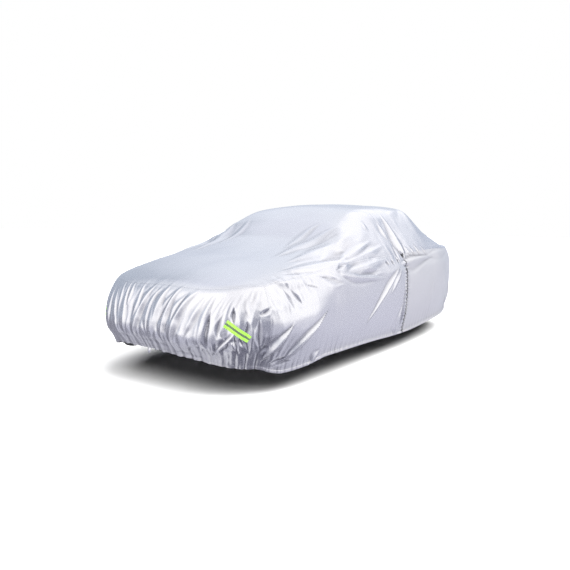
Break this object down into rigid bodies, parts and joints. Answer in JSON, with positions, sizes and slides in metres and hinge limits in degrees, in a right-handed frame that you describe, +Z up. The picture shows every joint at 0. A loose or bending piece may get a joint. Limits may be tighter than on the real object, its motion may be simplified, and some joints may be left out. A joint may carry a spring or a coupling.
{
  "type": "car cover",
  "caption": "Fitted silver cloth cover for a saloon car, with gathered hems, a zip in the left side and reflective strips on the front corners.",
  "frame": {"origin": "on the underside of the cloth at the top of the roof, on the centre line, over the middle of the car", "axes": "+Z up, -Y to the front of the car, +X to its left side"},
  "size_m": [1.8367, 4.5565, 1.2961],
  "materials": {
    "silver_cloth": "satin silver coating",
    "pale_silver_cloth": "paler, more matt silver coating",
    "zip_grey": "dark zip tape and teeth",
    "zip_metal": "dark painted",
    "lime_reflective": "lime reflective tape with a grey middle line"
  },
  "bodies": {
    "root": {"canopy": "silver_cloth", "front_skirt": "silver_cloth", "left_skirt": "silver_cloth", "left_rear_skirt": "pale_silver_cloth", "right_skirt": "silver_cloth", "rear_skirt": "silver_cloth", "zip_tape": "zip_grey", "zip_slider": "zip_metal", "zip_pull": "zip_metal", "left_reflector": "lime_reflective", "right_reflector": "lime_reflective", "hem_tab": "silver_cloth"}
  },
  "joints": []
}
